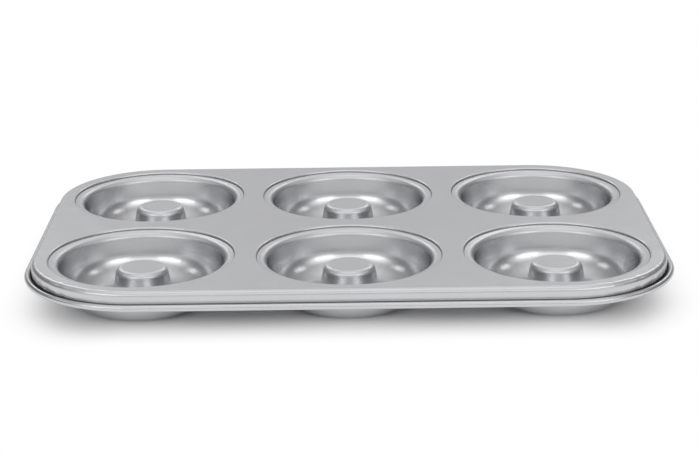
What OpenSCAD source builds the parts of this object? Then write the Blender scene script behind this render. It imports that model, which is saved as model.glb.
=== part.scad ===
// Doughnut pan: one steel sheet, drawn into rows of ring-shaped cups and finished with a curled rim.
// Millimetres. The pan stands on z = 0, centred on the origin, with its long side along X.

/* [Sheet] */
// Thickness of the steel sheet
sheet_t = 0.6; // [0.4:0.05:0.8]

/* [Layout] */
// Cups along the long side
columns = 3; // [2:1:5]
// Cups along the short side
rows = 2; // [2:1:4]
// Distance between neighbouring cup centres
cup_pitch = 94; // [90:1:120]
// Distance from the outer cups' centres to the outer face of the skirt
edge_margin = 49.5; // [49:0.1:70]

/* [Cup] */
// Diameter of the shallow recess around each cup
recess_d = 84; // [82:0.5:87]
// Depth of the recess below the plate
recess_depth = 0.9; // [0.7:0.1:1.5]
// Bend radius at the top and bottom of the recess's wall, on the inside of each bend
recess_bend_r = 0.15; // [0.05:0.05:0.3]
// Width of the ledge from the recess's wall to the middle of the cup's lip
ledge_w = 4.2; // [3.5:0.1:6]
// Slope of the ledge down to the lip, in degrees
ledge_slope = 8; // [0:1:15]
// Radius of the rounded lip, on the upper face
lip_r = 3; // [1:0.25:4]
// Lean of the cup's wall from upright, in degrees
wall_lean = 13; // [5:1:25]
// Radius between the wall and the floor, on the upper face
bowl_r = 14.5; // [8:0.5:16]
// Depth of the cup's floor below the top of the plate
cup_depth = 21.6; // [18:0.2:26]

/* [Post] */
// Diameter across the top of the post, between its sloping sides
post_d = 23; // [16:0.5:26]
// Depth of the post's top below the top of the plate
post_drop = 5.2; // [0:0.2:9]
// Radius around the post's top, on the upper face
post_edge_r = 2.6; // [1:0.1:3]
// Lean of the post's side from upright, in degrees
post_lean = 11; // [5:1:16]
// Radius between the post's foot and the floor, on the upper face
post_foot_r = 5.5; // [2:0.5:6]

/* [Rim] */
// Outer radius of the shoulder between the plate and the skirt
shoulder_r = 2.2; // [0.8:0.1:4]
// Height of the rim, from the top of the plate to the underside of the bead
rim_h = 8; // [6:0.1:14]
// Radius of the corner at the foot of the skirt, on the upper face
corner_r = 0.3; // [0.2:0.05:1]
// Outer diameter of the bead
bead_d = 2.9; // [2.2:0.1:4]
// Gap between the skirt and the bead, at its narrowest
bead_gap = 0.35; // [0.15:0.05:2]
// Angle that the bead is curled through, outward, up and back toward the skirt, in degrees
bead_curl = 270; // [180:5:280]

/* [Hidden] */
$fn = 96;

// Half of the rectangle that joins the centres of the corner cups
half_x = (columns - 1) * cup_pitch / 2;
half_y = (rows - 1) * cup_pitch / 2;

// Heights of the sheet's middle surface
mid = sheet_t / 2;
plate_z = cup_depth + sheet_t - mid;
ledge_z = plate_z - recess_depth;
lip_z = ledge_z - ledge_w * tan(ledge_slope);
floor_z = mid;
post_z = plate_z - post_drop;

// Radii of the cup's middle surface where its straight stretches would meet
recess_r = recess_d / 2 + mid;
lip_corner_r = recess_r - ledge_w;
wall_foot_r = lip_corner_r - (lip_z - floor_z) * tan(wall_lean);
post_top_r = post_d / 2 - mid;
post_base_r = post_top_r + (post_z - floor_z) * tan(post_lean);

// The plate's flat stretch ends at this distance from the outer cups' centres
shoulder_start = edge_margin - shoulder_r;
// Each cup's sheet ends at this radius, where the plate takes over
collar_r = recess_r + mid + recess_bend_r + 0.25;

// Furthest that a bend's facets lie from its true arc
chord_error = 0.02;

// Equal steps that a bend of radius r, through turn degrees, is drawn with
function steps_for(r, turn) = ceil(abs(turn) / (2 * acos(1 - chord_error / r)));

// Unit vector from a to b
function toward(a, b) = (b - a) / norm(b - a);

// The corner at b, rounded with the middle-line radius r. Each point is given at the distance side
// to the left of the path, so one corner serves both faces of the sheet.
function rounded_corner(a, b, c, r, side) =
    let (
        way_in = toward(a, b),
        way_out = toward(b, c),
        turn = atan2(way_in.x * way_out.y - way_in.y * way_out.x, way_in * way_out),
        hand = sign(turn),
        setback = r * tan(abs(turn) / 2),
        start = b - way_in * setback,
        centre = start + [-way_in.y, way_in.x] * r * hand,
        first = atan2(start.y - centre.y, start.x - centre.x)
    )
    bend(centre, r, first, turn, side);

// A bend in a given direction: from the angle first, through turn, around centre
function bend(centre, r, first, turn, side) =
    let (steps = steps_for(r, turn), hand = sign(turn))
    [for (i = [0 : steps])
        let (angle = first + turn * i / steps)
        centre + (r - side * hand) * [cos(angle), sin(angle)]];

// Corners of the cup's middle surface, from the collar to the middle of the post, and their radii
cup_path = [
    [collar_r, plate_z],
    [recess_r, plate_z],
    [recess_r, ledge_z],
    [lip_corner_r, lip_z],
    [wall_foot_r, floor_z],
    [post_base_r, floor_z],
    [post_top_r, post_z],
    [0, post_z]
];
cup_bends = [
    0,
    recess_bend_r + mid,
    recess_bend_r + mid,
    lip_r - mid,
    bowl_r + mid,
    post_foot_r + mid,
    post_edge_r - mid
];

// One face of the cup's sheet, side mm to the left of its middle surface
function cup_face(side) = concat(
    [cup_path[0] + [0, -side]],
    [for (i = [1 : 6]) each rounded_corner(cup_path[i - 1], cup_path[i], cup_path[i + 1], cup_bends[i], side)],
    [cup_path[7] + [0, -side]]
);

function reversed(points) = [for (i = [len(points) - 1 : -1 : 0]) points[i]];

// Middle-line radii of the rim's bends
shoulder_mid_r = shoulder_r - mid;
corner_mid_r = corner_r + mid;
bead_mid_r = bead_d / 2 - mid;

// Centres of the rim's bends, measured outward from the outer cups' centres
shoulder_centre = [shoulder_start, plate_z + mid - shoulder_r];
rim_z = plate_z + mid - rim_h;
corner_centre = [edge_margin + corner_r, rim_z + sheet_t + corner_r];
bead_centre = [edge_margin + bead_gap + bead_d / 2, rim_z + bead_d / 2];

// One face of the rim's sheet, from the plate's end to the end of the curl
function rim_face(side) = concat(
    bend(shoulder_centre, shoulder_mid_r, 90, -90, side),
    bend(corner_centre, corner_mid_r, 180, 90, side),
    bend(bead_centre, bead_mid_r, 270, bead_curl, side)
);

module cup_section() {
    polygon(concat(cup_face(mid), reversed(cup_face(-mid))));
}

module rim_section() {
    polygon(concat(rim_face(mid), reversed(rim_face(-mid))));
}

// One ring-shaped cup with its recess and centre post
module cup() {
    color("silver") rotate_extrude() cup_section();
}

// A quarter of a disc, for the plate's corners
module quarter_disc(r) {
    intersection() {
        circle(r);
        square(r + 1);
    }
}

// The plate's outline: a rectangle with rounded corners that share their centres with the corner cups
module plate_outline() {
    square([2 * half_x, 2 * (half_y + shoulder_start)], center = true);
    square([2 * (half_x + shoulder_start), 2 * half_y], center = true);
    for (x = [0, 1], y = [0, 1])
        mirror([x, 0]) mirror([0, y])
            translate([half_x, half_y]) quarter_disc(shoulder_start);
}

// Puts its children at every cup's centre
module at_cups() {
    for (i = [0 : columns - 1], j = [0 : rows - 1])
        translate([i * cup_pitch - half_x, j * cup_pitch - half_y]) children();
}

module plate() {
    color("silver")
        translate([0, 0, plate_z - mid]) linear_extrude(sheet_t) difference() {
            plate_outline();
            at_cups() circle(collar_r);
        }
}

// A straight side of the rim, of the given length, facing +X
module rim_side(length, offset) {
    translate([offset, length / 2, 0]) rotate([90, 0, 0]) linear_extrude(length) rim_section();
}

// The rim all round: four straight sides and four quarter turns about the corner cups' centres
module rim() {
    color("silver") {
        for (turn = [0, 180]) rotate(turn) rim_side(2 * half_y, half_x);
        for (turn = [90, 270]) rotate(turn) rim_side(2 * half_x, half_y);
        for (x = [0, 1], y = [0, 1])
            mirror([x, 0]) mirror([0, y])
                translate([half_x, half_y]) rotate_extrude(angle = 90) rim_section();
    }
}

// The whole pan, which is one piece of sheet
module pan() {
    color("silver") union() {
        plate();
        at_cups() cup();
        rim();
    }
}

pan();
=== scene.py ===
import math

import bmesh
import bpy
from mathutils import Matrix, Vector


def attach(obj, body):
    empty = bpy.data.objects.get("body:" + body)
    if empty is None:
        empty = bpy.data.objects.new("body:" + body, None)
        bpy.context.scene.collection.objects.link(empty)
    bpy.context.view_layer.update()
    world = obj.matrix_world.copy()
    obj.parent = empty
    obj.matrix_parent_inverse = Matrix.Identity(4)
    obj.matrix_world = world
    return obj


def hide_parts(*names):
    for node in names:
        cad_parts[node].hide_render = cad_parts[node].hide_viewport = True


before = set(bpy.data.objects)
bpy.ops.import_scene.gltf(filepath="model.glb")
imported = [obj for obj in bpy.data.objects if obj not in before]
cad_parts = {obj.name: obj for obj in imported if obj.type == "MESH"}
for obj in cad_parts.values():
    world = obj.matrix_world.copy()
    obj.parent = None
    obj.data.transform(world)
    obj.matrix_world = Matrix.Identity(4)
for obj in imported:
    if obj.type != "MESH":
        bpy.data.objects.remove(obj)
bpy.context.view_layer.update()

# Lengths are in millimetres, as in the part's source, unless a comment says metres
MM = 0.001

# The sheet and its middle line
SHEET = 0.6
MID = SHEET / 2

# The rows of cups
COLUMNS = 3
ROWS = 2
PITCH = 94
MARGIN = 49.5
HALF_X = (COLUMNS - 1) * PITCH / 2
HALF_Y = (ROWS - 1) * PITCH / 2

# One cup, down to its floor
RECESS_R = 42
RECESS_DEPTH = 0.9
RECESS_BEND_R = 0.15
LEDGE = 4.2
LEDGE_SLOPE = math.radians(8)
LIP_R = 3
WALL_LEAN = math.radians(13)
BOWL_R = 14.5
CUP_DEPTH = 21.6

# The post in the middle of a cup
POST_R = 11.5
POST_DROP = 5.2
POST_EDGE_R = 2.6
POST_LEAN = math.radians(11)
POST_FOOT_R = 5.5

# The rim, from the plate's edge to the end of the curl
SHOULDER_R = 2.2
RIM_H = 8
CORNER_R = 0.3
BEAD_R = 1.45
BEAD_GAP = 0.35
BEAD_CURL = math.radians(270)

# What follows from these sizes
PLATE_Z = CUP_DEPTH + SHEET - MID
SHOULDER_START = MARGIN - SHOULDER_R
OUTER_R = MARGIN + BEAD_GAP + 2 * BEAD_R

# How finely the mesh follows the round forms, and the flat collar that it has round a cup
CHORD_ERROR = 0.008
CUP_SEGMENTS = 96
CORNER_SEGMENTS = 28
COLLAR = 0.25
COLLAR_R = RECESS_R + SHEET + RECESS_BEND_R + COLLAR

# What the shading marks at a place: a hollow fold, which gets painted shade, plain sheet, the rim's shoulder
# or a ridge rubbed dull
HOLLOW = -1
PLAIN = 0
SHOULDER = 0.5
RIDGE = 1
# Width over which such a place runs out beside it
FADE = 0.3
# Share of the curl after which both its faces lie inside the bead
OPEN_CURL = 0.8

# The coating, the painted shade that darkens its colour in a hollow, and how much rougher it is there or on a
# ridge
COATING = (0.6, 0.603, 0.616)
EDGE_TINT = (0.8, 0.8, 0.81, 1)
ROUGHNESS = 0.235
HOLLOW_PAINTED_SHADE = 0.6
HOLLOW_ROUGHER = 0.25
RIDGE_ROUGHER = 0.14

# Its patterns, which are noises: the scale for places in metres, the detail and the roughness
GRAIN = (2600, 3, 0.6)
MOTTLE = (85, 4, 0.55)
CLOUD = (16, 2, 0.5)
# The middle of a noise's values, and how far from it most of them lie
NOISE_MIDDLE = 0.5
NOISE_SPREAD = 0.2

# What the patterns change: share of the tone, roughness, and height of the surface
GRAIN_TONE = 0.02
MOTTLE_TONE = 0.01
CLOUD_TONE = 0.01
GRAIN_ROUGHNESS = 0.03
MOTTLE_ROUGHNESS = 0.012
GRAIN_HEIGHT = 0.006
CLOUD_HEIGHT = 0.1

# Streaks that run round a bowl: the noise, its steps in a radian round the bowl and in a metre outward,
# their height, and the radii between which they come in beside the post and go out below the lip
STREAKS = (1.6, 3, 0.5)
STREAKS_ROUND = 7
STREAKS_OUTWARD = 60
STREAKS_HEIGHT = 0.06
STREAKS_IN = (12, 16)
STREAKS_OUT = (35, 38.5)

# Puckers round the rim's corners: the noise, its steps in a radian round the corner and in a metre upward,
# their height, and where they come in along the corner, outward from the plate and upward from the bead
PUCKERS = (1.0, 1, 0.5)
PUCKERS_ROUND = 9
PUCKERS_UPWARD = 40
PUCKERS_HEIGHT = 0.5
PUCKERS_AT_CORNER = (4, 20)
PUCKERS_ON_SHOULDER = (SHOULDER_START - 1.5, SHOULDER_START + 1.5)
PUCKERS_ABOVE_BEAD = (PLATE_Z - 5.5, PLATE_Z - 3)

# The floor: half its width in metres, and its paint
FLOOR_HALF = 8.0
FLOOR_PAINT = (0.93, 0.93, 0.93, 1)
FLOOR_ROUGHNESS = 0.9
# Lengths past the rim between which the floor's shading, with the shadow, gives way to plain white
SHADOW_RUNS_OUT = (-36, 4)
# How much farther out that happens at the pan's ends, and the lengths past the end cups where this comes in
SHADOW_WIDER = 12
SHADOW_WIDENS = (0, 40)

# The photograph's camera: how it is turned, in degrees, the point that it turns about, its distance from that
# point in metres, its lens and sensor, and how near and far it sees, in metres
CAMERA_YAW = -0.251
CAMERA_PITCH = 17.774
CAMERA_ROLL = -0.652
CAMERA_TARGET = (0.24, -7.6, CUP_DEPTH + SHEET - RECESS_DEPTH / 2)
CAMERA_DISTANCE = 0.8787
LENS = 95.85
SENSOR = 36
CLIP = (0.01, 50)

# The studio's brightness by elevation in degrees: behind the pan, to its sides and before it
BEHIND = ((0, 0.85), (10, 0.75), (20, 0.76), (32, 1.0), (46, 1.15), (62, 0.7), (90, 1.3))
BESIDE = ((0, 0.35), (10, 0.25), (20, 0.24), (32, 0.38), (46, 0.45), (62, 0.8), (90, 1.3))
BEFORE = ((0, 0.4), (10, 0.9), (20, 0.45), (32, 1.7), (46, 0.7), (62, 0.95), (90, 1.3))
# The world's strength, of which the brightness at each elevation is a share
BRIGHTEST = 2.5
# Azimuths from straight behind, in degrees, between which one of them gives way to the next
TO_BESIDE = (12, 45)
TO_BEFORE = (95, 130)
# Pairs of soft boxes: azimuth from straight behind, elevation, width and height in degrees, brightness
SOFT_BOXES = (
    (140, 27, 36, 10, 1.5),
    (86, 36, 16, 12, 1.2),
    (21, 32, 16, 14, 1.8),
)
# Their distance, in metres
BOX_DISTANCE = 3.0


def bend(centre, radius, first, turn, side, fold):
    """Points, outward normals and folds of one face of the sheet along a bend of its middle line.

    side is how far the face lies to the left of the middle line's way, and is negative to its right.
    """
    hand = math.copysign(1, turn)
    steps = math.ceil(abs(turn) / (2 * math.acos(1 - CHORD_ERROR / radius)))
    face = []
    for i in range(steps + 1):
        angle = first + turn * i / steps
        away = Vector((math.cos(angle), math.sin(angle)))
        normal = away * -hand * math.copysign(1, side)
        face.append((centre + away * (radius - side * hand), normal, fold))
    return face


def rounded_corner(a, b, c, radius, side, fold):
    """The corner at b between a and c, as a bend of the sheet."""
    way_in = (b - a).normalized()
    way_out = (c - b).normalized()
    turn = math.atan2(way_in.cross(way_out), way_in.dot(way_out))
    hand = math.copysign(1, turn)
    start = b - way_in * radius * math.tan(abs(turn) / 2)
    centre = start + Vector((-way_in.y, way_in.x)) * radius * hand
    first = math.atan2(start.y - centre.y, start.x - centre.x)
    return bend(centre, radius, first, turn, side, fold)


def plain_beside(point, way):
    """The place beside the end of a fold, on the way given, where the sheet is plain again."""
    place, normal, _ = point
    return place + way.normalized() * FADE, normal, PLAIN


def cup_face(side):
    """One face of a cup, from its collar to the middle of the post."""
    recess_r = RECESS_R + MID
    ledge_z = PLATE_Z - RECESS_DEPTH
    post_z = PLATE_Z - POST_DROP
    lip_r = recess_r - LEDGE
    lip_z = ledge_z - LEDGE * math.tan(LEDGE_SLOPE)
    wall_foot_r = lip_r - (lip_z - MID) * math.tan(WALL_LEAN)
    post_top_r = POST_R - MID
    post_base_r = post_top_r + (post_z - MID) * math.tan(POST_LEAN)
    path = [Vector(p) for p in (
        (COLLAR_R, PLATE_Z),
        (recess_r, PLATE_Z),
        (recess_r, ledge_z),
        (lip_r, lip_z),
        (wall_foot_r, MID),
        (post_base_r, MID),
        (post_top_r, post_z),
        (0, post_z),
    )]
    # Painted shade in the recess step's lower bend on the upper face, where shade falls in the crease
    step_fold = HOLLOW if side < 0 else PLAIN
    bends = (
        (RECESS_BEND_R + MID, PLAIN),
        (RECESS_BEND_R + MID, step_fold),
        (LIP_R - MID, RIDGE),
        (BOWL_R + MID, PLAIN),
        (POST_FOOT_R + MID, PLAIN),
        (POST_EDGE_R - MID, RIDGE),
    )
    flat = Vector((0, -math.copysign(1, side)))
    face = [(path[0] - Vector((0, side)), flat, PLAIN)]
    for i, (radius, fold) in enumerate(bends, 1):
        corner = rounded_corner(path[i - 1], path[i], path[i + 1], radius, side, fold)
        if fold == RIDGE:
            face.append(plain_beside(corner[0], path[i - 1] - path[i]))
        face += corner
        if fold != PLAIN:
            face.append(plain_beside(corner[-1], path[i + 1] - path[i]))
    face.append((path[-1] - Vector((0, side)), flat, PLAIN))
    return face


def rim_face(side):
    """One face of the rim, from the plate's edge to the end of the curl."""
    top = PLATE_Z + MID
    shoulder = Vector((SHOULDER_START, top - SHOULDER_R))
    corner = Vector((MARGIN + CORNER_R, top - RIM_H + SHEET + CORNER_R))
    bead = Vector((MARGIN + BEAD_GAP + BEAD_R, top - RIM_H + BEAD_R))
    bead_top = bead.y + BEAD_R
    skirt_x = MARGIN - MID + side
    plate_normal = Vector((0, math.copysign(1, side)))
    skirt_normal = Vector((math.copysign(1, side), 0))
    right = math.pi / 2
    curl_start = 3 * right
    open_curl = BEAD_CURL * OPEN_CURL
    # Painted shade on the upper face from the skirt's foot through the crevice and round the open curl, and
    # on both faces where the curl ends inside the bead
    inside = HOLLOW if side > 0 else PLAIN
    return ([(Vector((shoulder.x, PLATE_Z + side)), plate_normal, PLAIN)]
            + bend(shoulder, SHOULDER_R - MID, right, -right, side, SHOULDER)[1:]
            + [(Vector((skirt_x, shoulder.y - FADE)), skirt_normal, PLAIN),
               (Vector((skirt_x, bead_top)), skirt_normal, PLAIN),
               (Vector((skirt_x, bead.y)), skirt_normal, inside)]
            + bend(corner, CORNER_R + MID, math.pi, right, side, inside)
            + bend(bead, BEAD_R - MID, curl_start, open_curl, side, inside)
            + bend(bead, BEAD_R - MID, curl_start + open_curl, BEAD_CURL - open_curl, side, HOLLOW)[1:])


class Sheet:
    """A mesh in which every corner keeps the normal of the form that it was taken from."""

    def __init__(self):
        self.bm = bmesh.new()
        self.normal = self.bm.verts.layers.float_vector.new("form_normal")
        self.fold = self.bm.verts.layers.float.new("fold")

    def vertex(self, place, normal, fold):
        vertex = self.bm.verts.new(Vector(place) * MM)
        vertex[self.normal] = normal
        vertex[self.fold] = fold
        return vertex

    def bridge(self, ring_a, ring_b):
        """A band of faces between two closed rings."""
        count = len(ring_a)
        for i in range(count):
            j = (i + 1) % count
            self.bm.faces.new([ring_a[i], ring_a[j], ring_b[j], ring_b[i]])

    def fan(self, ring, tip):
        """Triangles from a closed ring to one place in its middle."""
        for i, vertex in enumerate(ring):
            self.bm.faces.new([vertex, ring[(i + 1) % len(ring)], tip])

    def loop_edges(self, ring):
        """The edges of a closed ring, once a band of faces has made them."""
        return [self.bm.edges.get((ring[i - 1], ring[i])) for i in range(len(ring))]

    def make(self, name):
        """The finished piece, with the form's normals on its corners."""
        bmesh.ops.recalc_face_normals(self.bm, faces=self.bm.faces)
        mesh = bpy.data.meshes.new(name)
        self.bm.to_mesh(mesh)
        self.bm.free()
        normals = [0.0] * (3 * len(mesh.vertices))
        mesh.attributes["form_normal"].data.foreach_get("vector", normals)
        mesh.attributes.remove(mesh.attributes["form_normal"])
        mesh.polygons.foreach_set("use_smooth", [True] * len(mesh.polygons))
        mesh.normals_split_custom_set_from_vertices(
            [normals[i:i + 3] for i in range(0, len(normals), 3)])
        piece = bpy.data.objects.new(name, mesh)
        bpy.context.collection.objects.link(piece)
        return piece


def cup_centres():
    """Where the cups stand, column by column."""
    return [(i * PITCH - HALF_X, j * PITCH - HALF_Y) for i in range(COLUMNS) for j in range(ROWS)]


def rim_stations():
    """Places round the rim: the centre that each is measured from, and its way out."""
    corners = ((HALF_X, HALF_Y), (-HALF_X, HALF_Y), (-HALF_X, -HALF_Y), (HALF_X, -HALF_Y))
    stations = []
    for quarter, corner in enumerate(corners):
        for i in range(CORNER_SEGMENTS + 1):
            angle = (quarter + i / CORNER_SEGMENTS) * math.pi / 2
            stations.append((corner, (math.cos(angle), math.sin(angle))))
    return stations


def add_face(sheet, side):
    """One whole face of the sheet: cups, rim and the plate between them. Returns the rim's last ring."""
    edges = []
    cup = cup_face(side)
    turns = [2 * math.pi * i / CUP_SEGMENTS for i in range(CUP_SEGMENTS)]
    for x, y in cup_centres():
        rings = []
        for place, normal, fold in cup[:-1]:
            rings.append([
                sheet.vertex((x + place.x * math.cos(a), y + place.x * math.sin(a), place.y),
                             (normal.x * math.cos(a), normal.x * math.sin(a), normal.y), fold)
                for a in turns])
        for outer, inner in zip(rings, rings[1:]):
            sheet.bridge(outer, inner)
        place, normal, fold = cup[-1]
        sheet.fan(rings[-1], sheet.vertex((x, y, place.y), (0, 0, normal.y), fold))
        edges += sheet.loop_edges(rings[0])

    # A cup's outline runs inward and the rim's runs outward, so the same face lies on the other hand
    rings = []
    for place, normal, fold in rim_face(-side):
        rings.append([
            sheet.vertex((centre[0] + place.x * out[0], centre[1] + place.x * out[1], place.y),
                         (normal.x * out[0], normal.x * out[1], normal.y), fold)
            for centre, out in rim_stations()])
    for inner, outer in zip(rings, rings[1:]):
        sheet.bridge(inner, outer)
    edges += sheet.loop_edges(rings[0])
    bmesh.ops.triangle_fill(sheet.bm, edges=edges, use_beauty=True)
    return rings[-1]


def make_pan():
    """The sheet's upper and lower face, joined at the end of the curl."""
    sheet = Sheet()
    last_above = add_face(sheet, -MID)
    last_below = add_face(sheet, MID)
    sheet.bridge(last_above, last_below)
    return sheet.make("pan_sheet")


class Nodes:
    """Short ways to add and join the nodes of one tree."""

    def __init__(self, tree):
        self.tree = tree

    def add(self, kind, **settings):
        node = self.tree.nodes.new(kind)
        for name, value in settings.items():
            setattr(node, name, value)
        return node

    def join(self, source, target):
        self.tree.links.new(source, target)

    def feed(self, socket, value):
        if isinstance(value, bpy.types.NodeSocket):
            self.join(value, socket)
        else:
            socket.default_value = value

    def math(self, operation, *values, clamp=False):
        node = self.add("ShaderNodeMath", operation=operation, use_clamp=clamp)
        for socket, value in zip(node.inputs, values):
            self.feed(socket, value)
        return node.outputs[0]

    def chain(self, operation, first, *others):
        """One operation taken over several values in turn."""
        for value in others:
            first = self.math(operation, first, value)
        return first

    def ramp(self, value, low, high, out_low, out_high):
        """Smooth step of a value, from out_low at low to out_high at high."""
        node = self.add("ShaderNodeMapRange", interpolation_type="SMOOTHSTEP")
        for socket, given in zip(node.inputs, (value, low, high, out_low, out_high)):
            self.feed(socket, given)
        return node.outputs[0]

    def come_in(self, value, span):
        """Smooth step from 0 to 1 between two lengths in millimetres, for a value in metres."""
        return self.ramp(value, span[0] * MM, span[1] * MM, 0, 1)

    def go_out(self, value, span):
        """Smooth step from 1 to 0 between two lengths in millimetres, for a value in metres."""
        return self.ramp(value, span[0] * MM, span[1] * MM, 1, 0)

    def noise(self, place, scale, detail, roughness):
        node = self.add("ShaderNodeTexNoise")
        self.join(place, node.inputs["Vector"])
        node.inputs["Scale"].default_value = scale
        node.inputs["Detail"].default_value = detail
        node.inputs["Roughness"].default_value = roughness
        return node.outputs["Fac"]

    def sway(self, noise, amount):
        """A noise as a change of plus or minus an amount."""
        return self.ramp(noise, NOISE_MIDDLE - NOISE_SPREAD, NOISE_MIDDLE + NOISE_SPREAD, -amount, amount)

    def split(self, vector):
        node = self.add("ShaderNodeSeparateXYZ")
        self.join(vector, node.inputs[0])
        return node.outputs

    def combine(self, x, y, z):
        node = self.add("ShaderNodeCombineXYZ")
        for socket, value in zip(node.inputs, (x, y, z)):
            self.feed(socket, value)
        return node.outputs[0]

    def mix(self, share, colour_a, colour_b):
        """A mix of two colours, by the share of the second."""
        node = self.add("ShaderNodeMix", data_type="RGBA")
        inputs = {socket.identifier: socket for socket in node.inputs}
        self.feed(inputs["Factor_Float"], share)
        self.feed(inputs["A_Color"], colour_a)
        self.feed(inputs["B_Color"], colour_b)
        return next(socket for socket in node.outputs if socket.identifier == "Result_Color")

    def bump(self, height, distance, normal=None):
        """A normal tilted by a height, whose whole range is a distance in millimetres."""
        node = self.add("ShaderNodeBump")
        node.inputs["Distance"].default_value = distance * MM
        self.join(height, node.inputs["Height"])
        if normal:
            self.join(normal, node.inputs["Normal"])
        return node.outputs[0]

    def length(self, x, y):
        """Length of the vector with two such parts."""
        squares = [self.math("MULTIPLY", value, value) for value in (x, y)]
        return self.math("SQRT", self.math("ADD", *squares))


def cup_polar(nodes, x, y):
    """Distance from the nearest cup's centre and the angle round it, in metres and radians."""
    pitch = PITCH * MM
    local = []
    for along, centre in ((x, HALF_X), (y, HALF_Y)):
        shifted = nodes.math("ADD", along, centre * MM + pitch / 2)
        local.append(nodes.math("SUBTRACT", nodes.math("FLOORED_MODULO", shifted, pitch), pitch / 2))
    return nodes.length(*local), nodes.math("ARCTAN2", local[1], local[0])


def past_cups(nodes, x, y):
    """How far a place lies past the outer cups' centres along X, along Y and in all, in metres."""
    past = [nodes.math("MAXIMUM", nodes.math("SUBTRACT", nodes.math("ABSOLUTE", along), half * MM), 0)
            for along, half in ((x, HALF_X), (y, HALF_Y))]
    return past[0], past[1], nodes.length(*past)


def streaks(nodes, x, y, z):
    """Height of the faint streaks that the drawing of the sheet leaves round a bowl."""
    radius, angle = cup_polar(nodes, x, y)
    round_bowl = nodes.math("MULTIPLY", angle, STREAKS_ROUND)
    outward = nodes.math("MULTIPLY", radius, STREAKS_OUTWARD)
    waves = nodes.noise(nodes.combine(round_bowl, outward, z), *STREAKS)
    in_bowl = nodes.math("MULTIPLY", nodes.go_out(radius, STREAKS_OUT), nodes.come_in(radius, STREAKS_IN))
    return nodes.math("MULTIPLY", waves, in_bowl)


def puckers(nodes, x, y, z):
    """Height of the faint folds in the shoulder and skirt, where the sheet is gathered round the corners."""
    past_x, past_y, reach = past_cups(nodes, x, y)
    round_corner = nodes.math("MULTIPLY", nodes.math("ARCTAN2", past_y, past_x), PUCKERS_ROUND)
    upward = nodes.math("MULTIPLY", z, PUCKERS_UPWARD)
    waves = nodes.noise(nodes.combine(round_corner, upward, 0), *PUCKERS)
    up_and_down = nodes.math("SUBTRACT", waves, NOISE_MIDDLE)
    at_corner = nodes.come_in(nodes.math("MINIMUM", past_x, past_y), PUCKERS_AT_CORNER)
    on_shoulder = nodes.come_in(reach, PUCKERS_ON_SHOULDER)
    above_bead = nodes.come_in(z, PUCKERS_ABOVE_BEAD)
    return nodes.chain("MULTIPLY", on_shoulder, above_bead, at_corner, up_and_down)


def coated_steel():
    """Satin silver coating with a fine grain and painted shade in its hollows, on pressed steel that is not
    quite even.
    """
    material = bpy.data.materials.new("coated_steel")
    material.use_nodes = True
    shader = material.node_tree.nodes["Principled BSDF"]
    shader.inputs["Metallic"].default_value = 1.0
    shader.inputs["Specular Tint"].default_value = EDGE_TINT
    nodes = Nodes(material.node_tree)
    place = nodes.add("ShaderNodeTexCoord").outputs["Object"]
    x, y, z = nodes.split(place)
    grain = nodes.noise(place, *GRAIN)
    mottle = nodes.noise(place, *MOTTLE)
    cloud = nodes.noise(place, *CLOUD)
    fold = nodes.add("ShaderNodeAttribute", attribute_name="fold").outputs["Fac"]
    hollow = nodes.math("MULTIPLY", fold, -1, clamp=True)
    ridge = nodes.math("MAXIMUM", fold, 0)

    tone = nodes.chain("ADD", nodes.sway(mottle, MOTTLE_TONE), nodes.sway(cloud, CLOUD_TONE),
                       nodes.sway(grain, GRAIN_TONE), 1)
    # Painted shade: the colour is darkened in the hollow folds, where the creases and the crevice lie in
    # shade
    shade = nodes.math("SUBTRACT", 1, nodes.math("MULTIPLY", hollow, HOLLOW_PAINTED_SHADE))
    colour = nodes.add("ShaderNodeVectorMath", operation="SCALE")
    colour.inputs[0].default_value = COATING
    nodes.join(nodes.math("MULTIPLY", tone, shade), colour.inputs["Scale"])
    nodes.join(colour.outputs[0], shader.inputs["Base Color"])

    rough = nodes.chain("ADD", ROUGHNESS, nodes.sway(mottle, MOTTLE_ROUGHNESS),
                        nodes.sway(grain, GRAIN_ROUGHNESS), nodes.math("MULTIPLY", ridge, RIDGE_ROUGHER),
                        nodes.math("MULTIPLY", hollow, HOLLOW_ROUGHER))
    nodes.join(rough, shader.inputs["Roughness"])

    normal = nodes.bump(streaks(nodes, x, y, z), STREAKS_HEIGHT)
    normal = nodes.bump(puckers(nodes, x, y, z), PUCKERS_HEIGHT, normal)
    normal = nodes.bump(cloud, CLOUD_HEIGHT, normal)
    normal = nodes.bump(grain, GRAIN_HEIGHT, normal)
    nodes.join(normal, shader.inputs["Normal"])
    return material


def floor_paint():
    """White paint that keeps the pan's shadow near it and runs out to plain white."""
    material = bpy.data.materials.new("floor")
    material.use_nodes = True
    nodes = Nodes(material.node_tree)
    paint = material.node_tree.nodes["Principled BSDF"]
    paint.inputs["Base Color"].default_value = FLOOR_PAINT
    paint.inputs["Roughness"].default_value = FLOOR_ROUGHNESS
    paint.inputs["Specular IOR Level"].default_value = 0.0
    white = nodes.add("ShaderNodeEmission")
    path = nodes.add("ShaderNodeLightPath").outputs
    seen = nodes.chain("MAXIMUM", path["Is Camera Ray"], path["Is Glossy Ray"], path["Is Transmission Ray"])
    x, y, _ = nodes.split(nodes.add("ShaderNodeNewGeometry").outputs["Position"])
    past_x, _, reach = past_cups(nodes, x, y)
    start, end = (length * MM for length in SHADOW_WIDENS)
    rim = nodes.ramp(past_x, start, end, OUTER_R * MM, (OUTER_R + SHADOW_WIDER) * MM)
    run_out = nodes.come_in(nodes.math("SUBTRACT", reach, rim), SHADOW_RUNS_OUT)
    blend = nodes.add("ShaderNodeMixShader")
    nodes.join(nodes.math("MULTIPLY", seen, run_out), blend.inputs[0])
    nodes.join(paint.outputs[0], blend.inputs[1])
    nodes.join(white.outputs[0], blend.inputs[2])
    nodes.join(blend.outputs[0], material.node_tree.nodes["Material Output"].inputs["Surface"])
    return material


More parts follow.
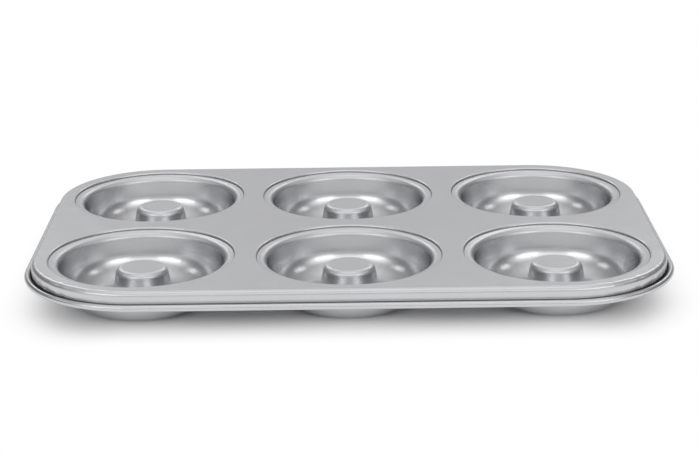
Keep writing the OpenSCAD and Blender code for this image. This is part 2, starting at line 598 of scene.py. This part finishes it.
def make_floor():
    """A white floor, far wider than the view."""
    mesh = bpy.data.meshes.new("floor")
    corners = [(x * FLOOR_HALF, y * FLOOR_HALF, 0) for x, y in ((-1, -1), (1, -1), (1, 1), (-1, 1))]
    mesh.from_pydata(corners, [], [(0, 1, 2, 3)])
    mesh.materials.append(floor_paint())
    floor = bpy.data.objects.new("floor", mesh)
    bpy.context.collection.objects.link(floor)


def make_camera():
    """The photograph's camera, placed by its yaw, pitch and roll about its target."""
    yaw = math.radians(CAMERA_YAW)
    pitch = math.radians(CAMERA_PITCH)
    roll = math.radians(CAMERA_ROLL)
    back = Vector((math.sin(yaw) * math.cos(pitch), -math.cos(yaw) * math.cos(pitch), math.sin(pitch)))
    right = Vector((math.cos(yaw), math.sin(yaw), 0))
    up = back.cross(right)
    right_rolled = right * math.cos(roll) + up * math.sin(roll)
    up_rolled = up * math.cos(roll) - right * math.sin(roll)
    data = bpy.data.cameras.new("camera")
    data.sensor_width = SENSOR
    data.lens = LENS
    data.clip_start, data.clip_end = CLIP
    camera = bpy.data.objects.new("camera", data)
    turn = Matrix((right_rolled, up_rolled, back)).transposed().to_4x4()
    camera.matrix_world = Matrix.Translation(Vector(CAMERA_TARGET) * MM + back * CAMERA_DISTANCE) @ turn
    bpy.context.collection.objects.link(camera)
    bpy.context.scene.camera = camera


def height_ramp(nodes, height, stops):
    """Share of the brightest at a height, which is the sine of the elevation."""
    ramp = nodes.add("ShaderNodeValToRGB")
    elements = ramp.color_ramp.elements
    elements.remove(elements[1])
    for i, (elevation, brightness) in enumerate(stops):
        element = elements.new(math.sin(math.radians(elevation))) if i else elements[0]
        share = brightness / BRIGHTEST
        element.color = (share, share, share, 1)
    nodes.join(height, ramp.inputs[0])
    return ramp.outputs[0]


def make_world():
    """The studio round the pan, which the camera itself sees as plain white."""
    world = bpy.data.worlds.new("studio")
    bpy.context.scene.world = world
    world.use_nodes = True
    nodes = Nodes(world.node_tree)
    x, y, z = nodes.split(nodes.add("ShaderNodeTexCoord").outputs["Generated"])
    azimuth = nodes.math("ARCTAN2", nodes.math("ABSOLUTE", x), y)
    colour = height_ramp(nodes, z, BEHIND)
    for (start, end), stops in ((TO_BESIDE, BESIDE), (TO_BEFORE, BEFORE)):
        share = nodes.ramp(azimuth, math.radians(start), math.radians(end), 0, 1)
        colour = nodes.mix(share, colour, height_ramp(nodes, z, stops))
    white = (1 / BRIGHTEST, 1 / BRIGHTEST, 1 / BRIGHTEST, 1)
    seen = nodes.add("ShaderNodeLightPath").outputs["Is Camera Ray"]
    background = world.node_tree.nodes["Background"]
    nodes.join(nodes.mix(seen, colour, white), background.inputs["Color"])
    background.inputs["Strength"].default_value = BRIGHTEST


def make_soft_boxes():
    """Pairs of soft boxes, the same on the left and on the right, turned toward the pan."""
    for azimuth, elevation, width, height, brightness in SOFT_BOXES:
        for side in (-1, 1):
            turn = math.radians(azimuth * side)
            rise = math.radians(elevation)
            way = Vector((math.sin(turn) * math.cos(rise), math.cos(turn) * math.cos(rise), math.sin(rise)))
            data = bpy.data.lights.new("soft_box", "AREA")
            data.shape = "ELLIPSE"
            data.size = BOX_DISTANCE * math.radians(width)
            data.size_y = BOX_DISTANCE * math.radians(height)
            area = data.size * data.size_y * math.pi / 4
            data.energy = brightness * math.pi * area
            lamp = bpy.data.objects.new("soft_box", data)
            lamp.location = BOX_DISTANCE * way
            lamp.rotation_euler = lamp.location.to_track_quat("Z", "Y").to_euler()
            bpy.context.collection.objects.link(lamp)


pan = make_pan()
pan.data.materials.append(coated_steel())
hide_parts("pan")
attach(pan, "root")

make_floor()
make_camera()
make_world()
make_soft_boxes()
bpy.context.scene.view_settings.view_transform = "Standard"
